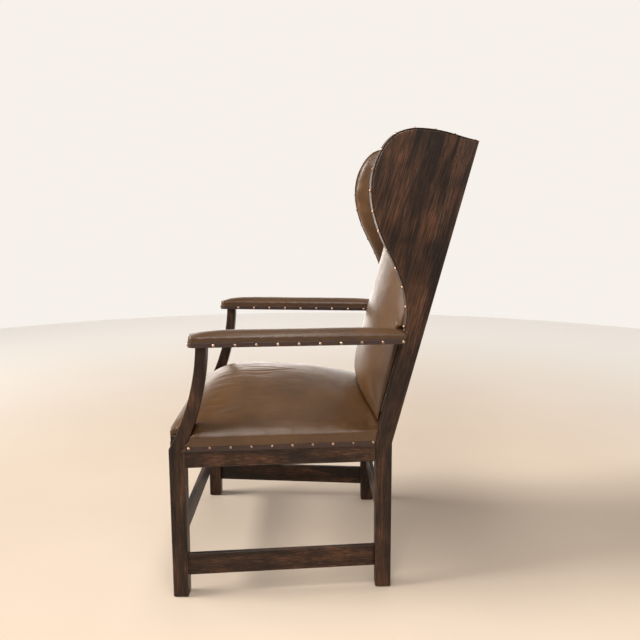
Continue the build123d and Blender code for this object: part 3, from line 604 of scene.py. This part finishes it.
def nailed_strip(name, source, nails):
    """A leather strip with rounded edges, drawn down by its nails."""
    strip = padding_copy(name, [source], STRIP_VOXEL)
    moved_vertices(strip, lambda p, n: n * (0.00015 + 0.0002 * noise.noise(p * 90)))
    dimpled(strip, nails, 0.0006, 0.011)
    shaded_smooth(strip)
    return strip


def strip_finished(strip, stands_for):
    dress(strip, strip_leather)
    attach(strip, "root")
    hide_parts(stands_for)


seat_strip = nailed_strip("seat_strip", "seat_banding", "seat_nails")
strip_finished(seat_strip, "seat_banding")
for pair in ("arm", "wing"):
    left_strip = nailed_strip(pair + "_strip_left", pair + "_banding_left", pair + "_nails_left")
    right_strip = other_side(left_strip, pair + "_strip_right")
    strip_finished(left_strip, pair + "_banding_left")
    strip_finished(right_strip, pair + "_banding_right")


# Seat
def by_a_post(place):
    """Whether a place of the seat lies against a front post or a stile."""
    front_post = SEAT_SIDE_START + (place.z - KNEE) * POST_LEAN + 0.006
    stile = STILE_FRONT + (place.z - KNEE) * tan(RAKE) - 0.006
    return ((abs(place.x) > INNER_FRONT - 0.004 and place.y < front_post)
            or (abs(place.x) > INNER_STILE - 0.004 and place.y > stile))


def off_the_posts(place):
    """1 on the seat's border, falling to 0 beside the posts."""
    beside = min(place.y - SEAT_SIDE_START, STILE_FRONT - place.y)
    if place.y < SEAT_SIDE_START:
        beside = INNER_FRONT - abs(place.x)
    return clamped(beside / 0.035)


def border_swell(z):
    """How far the seat's border stands out at a height."""
    return SEAT_ROLL * max(1 - ((z - SWELL_HEIGHT) / SWELL_REACH) ** 2, 0)


def seat_cover_start(place, normal):
    if normal.z < -0.5:
        return Vector()
    if by_a_post(place):
        return normal * 0.0016
    roll = SEAT_ROLL * off_the_posts(place) * exp(-((place.z - SEAT_ROLL_HEIGHT) / 0.016) ** 2)
    outwards = 0.002 if place.z < RAIL_TOP + 0.006 else -0.0015
    return normal * (outwards + roll)


seat = padding_copy("seat_leather", ["seat_stuffing"], 0.006)
moved_vertices(seat, seat_cover_start)
filled(seat, lambda p: 1.0 if p.z < RAIL_TOP + 0.005 or by_a_post(p) else 0.0,
       pressure=4.0, cap=0.008, smoothing=2)
rounded(seat)


def sat_on_creases(place, normal):
    """Fine creases fore and aft over the front of the seat, where it is sat on."""
    ahead = clamped((-0.01 - place.y) / 0.09)
    ahead *= clamped((place.y - FRONT - 0.03) / 0.05)
    level = clamped((normal.z - 0.80) * 8)
    patches = clamped(noise.noise(place * 14) + 0.55)
    crease = max(1 - abs(noise.noise(Vector((place.x * 42, place.y * 9, 3.1)))) / 0.34, 0)
    return normal * (-0.0015 * ahead * level * patches * crease)


def low_rear_corner(place, normal):
    """The seat falls away beside the back, to the height of its border at the stile."""
    beside = clamped((abs(place.x) - 0.15) / 0.09)
    behind = clamped((place.y - 0.02) / 0.10)
    above = clamped((place.z - SEAT_ROLL_HEIGHT) / 0.012)
    return Vector((0, 0, -0.015)) * (beside ** 2 * behind ** 2 * above)


moved_vertices(seat, sat_on_creases)
moved_vertices(seat, low_rear_corner)
skin = opened(seat, lambda c, n: n.z < -0.6 and c.z < RAIL_TOP + 0.004)


def seat_half_width(y):
    return OUTER_FRONT + max(y - SEAT_SIDE_START, 0) * SEAT_SIDE_SLOPE


def on_seat_side(place, top=RAIL_TOP + 0.014):
    beside = (abs(place.x) > seat_half_width(place.y) - 0.010
              and SEAT_SIDE_START + 0.001 < place.y < STILE_FRONT + 0.0035)
    ahead = place.y < FRONT + 0.009 and abs(place.x) < INNER_FRONT
    return place.z < top and (beside or ahead)


def on_rail_face(place, z):
    """The nearest place on the outside of the leather over the seat rails."""
    out = LEATHER_OUT + border_swell(z) * off_the_posts(place)
    if place.y < FRONT + 0.009 and abs(place.x) < INNER_FRONT:
        to_post = min(max(abs(place.x) / INNER_FRONT - 0.91, 0) / 0.08, 1)
        return Vector((place.x * (1 + 0.008 * to_post), FRONT - out, z))
    y = min(place.y, STILE_FRONT - 0.001 + max(z - KNEE, 0) * tan(RAKE))
    # the post leans back, so the border's end follows it
    post = SEAT_SIDE_START + max(z - KNEE, 0) * POST_LEAN + 0.0005
    y -= (END_BY_POST - post) * clamped(1 - (y - END_BY_POST) / 0.03)
    half = seat_half_width(y) + out
    return Vector((half if place.x > 0 else -half, y, z))


for v in skin.verts:
    if v.co.z < BORDER_TOP and on_seat_side(v.co, BORDER_TOP):
        aside = min(seat_half_width(v.co.y) - abs(v.co.x), v.co.y - FRONT)
        weight = min((BORDER_TOP - v.co.z) / BORDER_FADE, 1) * clamped((0.009 - aside) / 0.004)
        v.co = v.co.lerp(on_rail_face(v.co, v.co.z), weight)
ridge = [v for v in skin.verts if 0.4045 < v.co.z < 0.428 and off_the_posts(v.co) > 0.1
         and (abs(v.co.x) > seat_half_width(v.co.y) - 0.032 or v.co.y < FRONT + 0.032)]
smoothed(skin, ridge, 10)
hemmed(skin, on_seat_side, lambda p: on_rail_face(p, HEM_HIGH),
       lambda p: on_rail_face(p, RAIL_TOP + 0.001))
hemmed(skin, lambda p: on_seat_side(p, HEM_HIGH + HEM_SLACK),
       lambda p: on_rail_face(p, HEM_LOW))
hemmed(skin, lambda p: on_seat_side(p, HEM_LOW + HEM_SLACK),
       lambda p: on_rail_face(p, BAND_BOTTOM))
skin.to_mesh(seat.data)
skin.free()
skinned(seat)
finished(seat, seat_hide, "leather", "seat_cover", "seat_stuffing", fill=0.85)

# Back
back = padding_copy("back_leather", ["back_stuffing"], 0.006)


def back_start(place, normal):
    across, _, forward = in_back(place)
    if forward < 0.003:
        return Vector()
    if abs(across) > INNER_STILE - 0.006:
        return normal * 0.001
    return normal * -0.001


def tucked_corner(place, normal):
    """The back's lower corners reach down behind the seat."""
    across, up, _ = in_back(place)
    beside = clamped((abs(across) - 0.10) / 0.09)
    below = clamped((0.085 - up) / 0.05)
    return UP_RAKE * (-0.018 * beside * below * below)


moved_vertices(back, back_start)
filled(back, lambda p: 1.0 if in_back(p)[2] < 0.005 else 0.0,
       pressure=3.5, cap=0.006, smoothing=6)
moved_vertices(back, tucked_corner)
arm_low, arm_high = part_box("arm_cover_left")


def drawn_to_arm(place, normal):
    """The back's leather is drawn close round each arm."""
    spot = Vector((abs(place.x), place.y, place.z))
    nearest = Vector([min(max(c, low), high) for c, low, high in zip(spot, arm_low, arm_high)])
    gap = spot - nearest
    share = min(max(1 - gap.length / ARM_DRAW, 0) * 2.5, 1)
    beyond = max(arm_low.z - spot.z, spot.z - arm_high.z, 0)
    share *= max(1 - beyond / 0.003, 0)
    step = gap.normalized() * (0.001 - gap.length) * share
    return Vector((step.x if place.x > 0 else -step.x, step.y, step.z))


moved_vertices(back, drawn_to_arm)
rounded(back)
skin = opened(back, lambda c, n: n.dot(FORWARD) < -0.6 and in_back(c)[2] < 0.004)
hemmed(skin, lambda p: in_back(p)[1] > STILE_LENGTH - 0.014,
       lambda p: p + FORWARD * (TOP_RAIL_BACK - in_back(p)[2])
       + UP_RAKE * (STILE_LENGTH + 0.002 - in_back(p)[1]))
skin.to_mesh(back.data)
skin.free()
skinned(back)
finished(back, brown_leather, "leather", "back_cover", "back_stuffing", fill=0.8)

# Wings
wing = padding_copy("wing_leather_left", ["wing_board_left", "wing_stuffing_left"], 0.005)


def wing_start(place, normal):
    forward, _, inwards = in_wing(place)
    if forward < 0.003 or inwards < 0.001:
        return Vector()
    return normal * (0.002 if inwards < 0.024 else 0.0)


moved_vertices(wing, wing_start)
filled(wing, lambda p: 1.0 if in_wing(p)[0] < 0.005 or in_wing(p)[2] < 0.024 else 0.0,
       pressure=1.5, cap=0.003, smoothing=8)
rounded(wing)
skin = opened(wing, lambda c, n: n.dot(WING_FORWARD) < -0.6 and in_wing(c)[0] < 0.004,
              [(WING_START + WING_INWARDS * 0.0015, -WING_INWARDS)])
hemmed(skin, lambda p: in_wing(p)[1] > STILE_LENGTH - 0.006 and in_wing(p)[0] < 0.006,
       lambda p: p + FORWARD * (-STILE_DEPTH - in_back(p)[2])
       + UP_RAKE * (STILE_LENGTH + 0.002 - in_back(p)[1]))
skin.to_mesh(wing.data)
skin.free()
skinned(wing)
right_wing = other_side(wing, "wing_leather_right")
finished(wing, brown_leather, "leather", "wing_cover_left", "wing_stuffing_left", fill=0.7)
finished(right_wing, brown_leather, "leather", "wing_cover_right", "wing_stuffing_right", fill=0.7)

# Arms
arm = padding_copy("arm_leather_left", ["arm_rail_left", "arm_stuffing_left"], 0.003)
moved_vertices(arm, lambda p, n: n * (0.0019 if p.z < ARM_TOP + 0.003 else 0.0015))
filled(arm, lambda p: 1.0 if p.z < ARM_TOP + 0.004 or in_back(p)[2] < 0.003 else 0.0,
       pressure=2.0, cap=0.002, smoothing=2)
rounded(arm)
skin = opened(arm, lambda c, n: n.z < -0.6 and c.z < ARM_BOTTOM + 0.004,
              [(BACK_START + FORWARD * 0.0004, -FORWARD),
               (Vector((0, 0, ARM_BOTTOM)), Vector((0, 0, -1)))])
skin.to_mesh(arm.data)
skin.free()
skinned(arm)
right_arm = other_side(arm, "arm_leather_right")
finished(arm, arm_hide_painted_shade, "leather", "arm_cover_left", "arm_stuffing_left", fill=0.8)
finished(right_arm, arm_hide_painted_shade, "leather", "arm_cover_right", "arm_stuffing_right", fill=0.8)

# Outside back: a taut panel in its rebate, its edges turned under
panel = [in_back(v.co) for v in nodes["outside_back_cover"].data.vertices]
PANEL_HALF = max(spot[0] for spot in panel)
PANEL_LOW, PANEL_HIGH = min(spot[1] for spot in panel), max(spot[1] for spot in panel)
PANEL_OUTER = min(spot[2] for spot in panel)


def on_panel(v):
    """Places a point of the flat grid, which is one unit wide and high, on the back."""
    across, up = v.co.x * PANEL_HALF, PANEL_LOW + (v.co.y + 1) / 2 * (PANEL_HIGH - PANEL_LOW)
    edge = min(PANEL_HALF - abs(across), up - PANEL_LOW, PANEL_HIGH - up)
    turned_under = 0.0005 if edge < 0.011 else 0
    swell = 0.0020 * (1 - v.co.x ** 2) * (1 - v.co.y ** 4)
    ease = 0.0007 * max(1 - edge / 0.0012, 0)
    depth = PANEL_OUTER - turned_under - swell + ease
    return BACK_START + Vector((across, 0, 0)) + UP_RAKE * up + FORWARD * depth


bm = bmesh.new()
bmesh.ops.create_grid(bm, x_segments=160, y_segments=220, size=1)
for v in bm.verts:
    v.co = on_panel(v)
bmesh.ops.recalc_face_normals(bm, faces=bm.faces)
bm.normal_update()
if bm.faces[:][0].normal.dot(FORWARD) > 0:
    bmesh.ops.reverse_faces(bm, faces=bm.faces)
outside_back = add_piece("outside_back_leather", new_mesh("outside_back_leather", bm))
dimpled(outside_back, "outside_back_nails", 0.0008, 0.014)
skinned(outside_back)
dress(outside_back, brown_leather)
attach(outside_back, "root")
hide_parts("outside_back_cover")

# Dust cover: thin cloth under the seat, tacked to the rails, which sags a little
bm = bmesh.new()
bm.from_mesh(nodes["dust_cover"].data)
bmesh.ops.remove_doubles(bm, verts=bm.verts, dist=MERGE)
bm.normal_update()
bmesh.ops.delete(bm, geom=[f for f in bm.faces if f.normal.z > -0.9], context="FACES")
for axis, low, high in ((0, -0.31, 0.31), (1, -0.35, 0.16)):
    for step in range(int((high - low) / CLOTH_STEP)):
        place, across = Vector(), Vector()
        place[axis], across[axis] = low + step * CLOTH_STEP, 1
        bmesh.ops.bisect_plane(bm, geom=bm.verts[:] + bm.edges[:] + bm.faces[:], plane_co=place,
                               plane_no=across, dist=MERGE)
cloth_area = sum(f.calc_area() for f in bm.faces)
for v in bm.verts:
    across, along = v.co.x / 0.285, (v.co.y + 0.094) / 0.225
    sag = max(1 - across ** 2, 0) * max(1 - along ** 2, 0)
    pulls = max(1 - sag * 3, 0) * min(sag * 20, 1)
    v.co.z -= CLOTH_SAG * sag ** 0.7 + 0.0008 * pulls * noise.noise(v.co * 45)
dust_cloth = add_piece("dust_cloth", new_mesh("dust_cloth", bm))
skinned(dust_cloth, 0.0006)
dress(dust_cloth, black_cloth)
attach(dust_cloth, "root")
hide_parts("dust_cover")

# Floor
floor_bm = bmesh.new()
bmesh.ops.create_circle(floor_bm, cap_ends=True, radius=FLOOR_RADIUS, segments=96)
floor = add_piece("studio_floor", new_mesh("studio_floor", floor_bm))
floor_material, floor_shader, floor_add, floor_link = new_material("pale_floor")
floor_place = floor_add("ShaderNodeTexCoord").outputs["Object"]
floor_tone = floor_add("ShaderNodeTexNoise", Vector=floor_place, Scale=1.5, Detail=3.0)
near_tone = ramp(floor_add, floor_tone.outputs["Fac"], [(0.3, (0.66, 0.54, 0.43)),
                                                        (0.7, (0.69, 0.57, 0.455))])
far_off = floor_add("ShaderNodeVectorMath", {"operation": "LENGTH"}, _0=floor_place)
far_off = floor_add("ShaderNodeMapRange", {"interpolation_type": "SMOOTHSTEP"},
                    Value=far_off.outputs["Value"], _1=FLOOR_NEAR, _2=FLOOR_FAR)
floor_link(mixed(floor_add, far_off.outputs[0], near_tone, (0.95, 0.91, 0.86)),
           floor_shader.inputs["Base Color"])
floor_shader.inputs["Roughness"].default_value = 0.6
dress(floor, floor_material)
floor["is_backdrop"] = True


# Light and camera
def lamp(name, place, target, size, power, colour):
    light = bpy.data.lights.new(name, "AREA")
    light.shape = "RECTANGLE"
    light.size, light.size_y = size
    light.energy = power
    light.color = colour
    holder = bpy.data.objects.new(name, light)
    holder.location = place
    holder.rotation_euler = (Vector(target) - Vector(place)).to_track_quat("-Z", "Y").to_euler()
    holder.visible_camera = False
    bpy.context.scene.collection.objects.link(holder)


lamp("window_light", (-0.5, -3.2, 1.9), (0, 0, 0.6), (1.7, 1.7), 42, (1.0, 0.97, 0.93))
lamp("ceiling_light", (0.9, -0.1, 2.4), (0.2, 0, 0.4), (0.4, 2.6), 33, (1.0, 0.98, 0.95))
lamp("room_light", (3.0, 0.8, 2.4), (0, 0, 0.5), (2.0, 2.0), 36, (1.0, 0.96, 0.92))
daylight = bpy.data.lights.new("daylight", "SUN")
daylight.energy = 3.2
daylight.angle = radians(24)
daylight.color = (1.0, 0.975, 0.94)
holder = bpy.data.objects.new("daylight", daylight)
holder.rotation_euler = DAYLIGHT_HEADING.to_track_quat("-Z", "Y").to_euler()
bpy.context.scene.collection.objects.link(holder)

# The backdrop looks pale all round. Its light is dim on the camera side and in front, and a
# glow lies beyond the far side of the chair
world = bpy.data.worlds.new("studio_air")
bpy.context.scene.world = world
world.use_nodes = True
air = world.node_tree
heading = air.nodes.new("ShaderNodeTexCoord")
tone = air.nodes.new("ShaderNodeValToRGB")
spread_out = air.nodes.new("ShaderNodeMapRange")
spread_out.inputs[1].default_value = -0.75
spread_out.inputs[2].default_value = 0.10
dim_side = air.nodes.new("ShaderNodeVectorMath")
dim_side.operation = "DOT_PRODUCT"
dim_side.inputs[1].default_value = DIM_HEADING
air.links.new(heading.outputs["Generated"], dim_side.inputs[0])
air.links.new(dim_side.outputs["Value"], spread_out.inputs[0])
air.links.new(spread_out.outputs[0], tone.inputs[0])
tone.color_ramp.elements[0].color = BACKDROP
tone.color_ramp.elements[1].color = (0.10, 0.088, 0.078, 1)
air.links.new(tone.outputs[0], air.nodes["Background"].inputs["Color"])
glow = air.nodes.new("ShaderNodeVectorMath")
glow.operation = "DOT_PRODUCT"
glow.inputs[1].default_value = GLOW_HEADING
glow_share = air.nodes.new("ShaderNodeMapRange")
for index, value in enumerate((GLOW_EDGE, GLOW_CORE, 1.0, GLOW_STRENGTH), 1):
    glow_share.inputs[index].default_value = value
air.links.new(heading.outputs["Generated"], glow.inputs[0])
air.links.new(glow.outputs["Value"], glow_share.inputs[0])
air.links.new(glow_share.outputs[0], air.nodes["Background"].inputs["Strength"])
backdrop = air.nodes.new("ShaderNodeBackground")
backdrop.inputs["Color"].default_value = BACKDROP
seen = air.nodes.new("ShaderNodeLightPath")
either = air.nodes.new("ShaderNodeMixShader")
air.links.new(seen.outputs["Is Camera Ray"], either.inputs[0])
air.links.new(air.nodes["Background"].outputs[0], either.inputs[1])
air.links.new(backdrop.outputs[0], either.inputs[2])
air.links.new(either.outputs[0], air.nodes["World Output"].inputs["Surface"])
bpy.context.scene.view_settings.view_transform = "Standard"

camera = bpy.data.objects.new("photo_camera", bpy.data.cameras.new("photo_camera"))
camera.data.lens = LENS
ahead = Vector((-cos(CAMERA_YAW) * cos(CAMERA_PITCH), -sin(CAMERA_YAW) * cos(CAMERA_PITCH),
                -sin(CAMERA_PITCH)))
rightwards = Vector((-sin(CAMERA_YAW), cos(CAMERA_YAW), 0))
upwards = rightwards.cross(ahead)
turned = Matrix((rightwards, upwards, -ahead)).transposed().to_4x4()
camera.matrix_world = Matrix.Translation(CAMERA_PLACE) @ turned
bpy.context.scene.collection.objects.link(camera)
bpy.context.scene.camera = camera

low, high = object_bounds()
